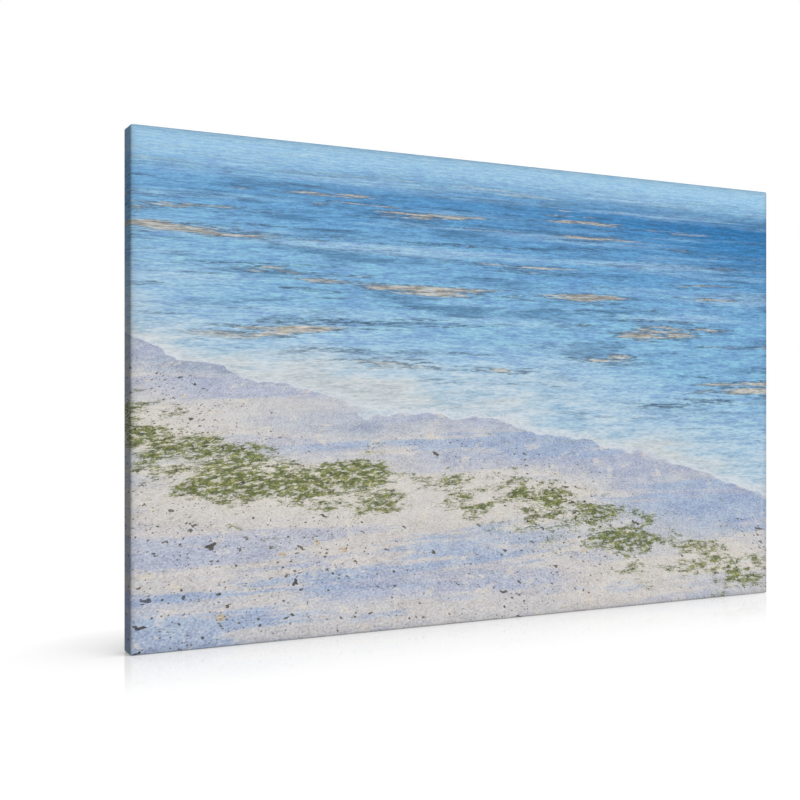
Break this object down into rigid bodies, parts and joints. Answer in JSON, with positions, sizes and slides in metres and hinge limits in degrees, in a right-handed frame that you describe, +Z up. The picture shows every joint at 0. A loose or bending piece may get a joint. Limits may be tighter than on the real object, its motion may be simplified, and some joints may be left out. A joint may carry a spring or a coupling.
{
  "type": "stretched canvas picture",
  "caption": "Wall picture: printed cloth wrapped round a mitred pine stretcher frame and stapled to its back, with a plain seashore design that runs over the sides.",
  "frame": {"origin": "on the base, under the middle of the picture's width and of its depth over the staples", "axes": "+X along the width, to the right as the picture is looked at; the picture faces -Y; +Z up its height"},
  "size_m": [0.8, 0.026, 0.5],
  "materials": {
    "printed_cloth": "matt primed cotton, printed",
    "pale_pine": "planed, unfinished",
    "straw_pine": "planed, unfinished",
    "brown_pine": "planed, unfinished heartwood",
    "staple_steel": "galvanised wire"
  },
  "bodies": {
    "root": {"canvas": "printed_cloth", "right_bar_upper": "pale_pine", "right_bar_middle": "brown_pine", "right_bar_lower": "pale_pine", "left_bar_upper": "pale_pine", "left_bar_lower": "straw_pine", "top_bar_left": "straw_pine", "top_bar_right": "pale_pine", "bottom_bar_left": "pale_pine", "bottom_bar_right": "straw_pine", "staple_right_1": "staple_steel", "staple_right_2": "staple_steel", "staple_right_3": "staple_steel", "staple_right_4": "staple_steel", "staple_right_5": "staple_steel", "staple_right_6": "staple_steel", "staple_left_1": "staple_steel", "staple_left_2": "staple_steel", "staple_left_3": "staple_steel", "staple_left_4": "staple_steel", "staple_left_5": "staple_steel", "staple_left_6": "staple_steel", "staple_top_1": "staple_steel", "staple_top_2": "staple_steel", "staple_top_3": "staple_steel", "staple_top_4": "staple_steel", "staple_top_5": "staple_steel", "staple_top_6": "staple_steel", "staple_top_7": "staple_steel", "staple_bottom_1": "staple_steel", "staple_bottom_2": "staple_steel", "staple_bottom_3": "staple_steel", "staple_bottom_4": "staple_steel", "staple_bottom_5": "staple_steel", "staple_bottom_6": "staple_steel", "staple_bottom_7": "staple_steel", "staple_top_right_corner_1": "staple_steel", "staple_top_right_corner_2": "staple_steel", "staple_top_right_corner_3": "staple_steel", "staple_top_left_corner_1": "staple_steel", "staple_top_left_corner_2": "staple_steel", "staple_top_left_corner_3": "staple_steel", "staple_bottom_right_corner_1": "staple_steel", "staple_bottom_right_corner_2": "staple_steel", "staple_bottom_right_corner_3": "staple_steel", "staple_bottom_left_corner_1": "staple_steel", "staple_bottom_left_corner_2": "staple_steel", "staple_bottom_left_corner_3": "staple_steel"}
  },
  "joints": []
}
